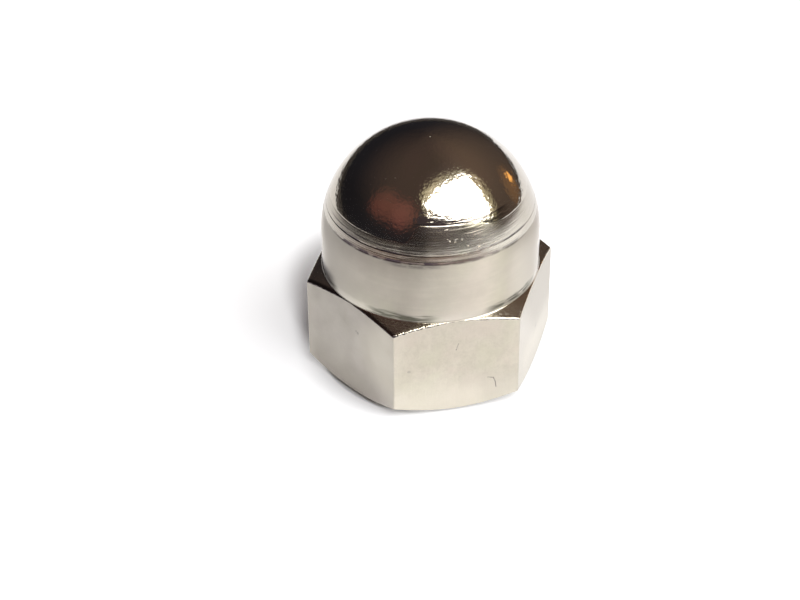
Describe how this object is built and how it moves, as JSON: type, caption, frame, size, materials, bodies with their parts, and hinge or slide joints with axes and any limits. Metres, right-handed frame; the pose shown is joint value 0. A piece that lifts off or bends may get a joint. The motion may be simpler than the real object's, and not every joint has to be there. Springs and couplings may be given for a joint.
{
  "type": "cap nut",
  "caption": "Hexagon cap nut with a high domed end, which closes over and covers the end of a threaded stud.",
  "frame": {"origin": "centre of the open end's bearing face, on which the nut stands", "axes": "+Z along the thread axis, from the open end towards the dome; two hexagon corners lie on the X axis, so one flat faces -Y"},
  "size_m": [0.015, 0.013, 0.0152],
  "materials": {
    "nickel": "polished"
  },
  "bodies": {
    "root": {"cap_nut": "nickel"}
  },
  "joints": []
}
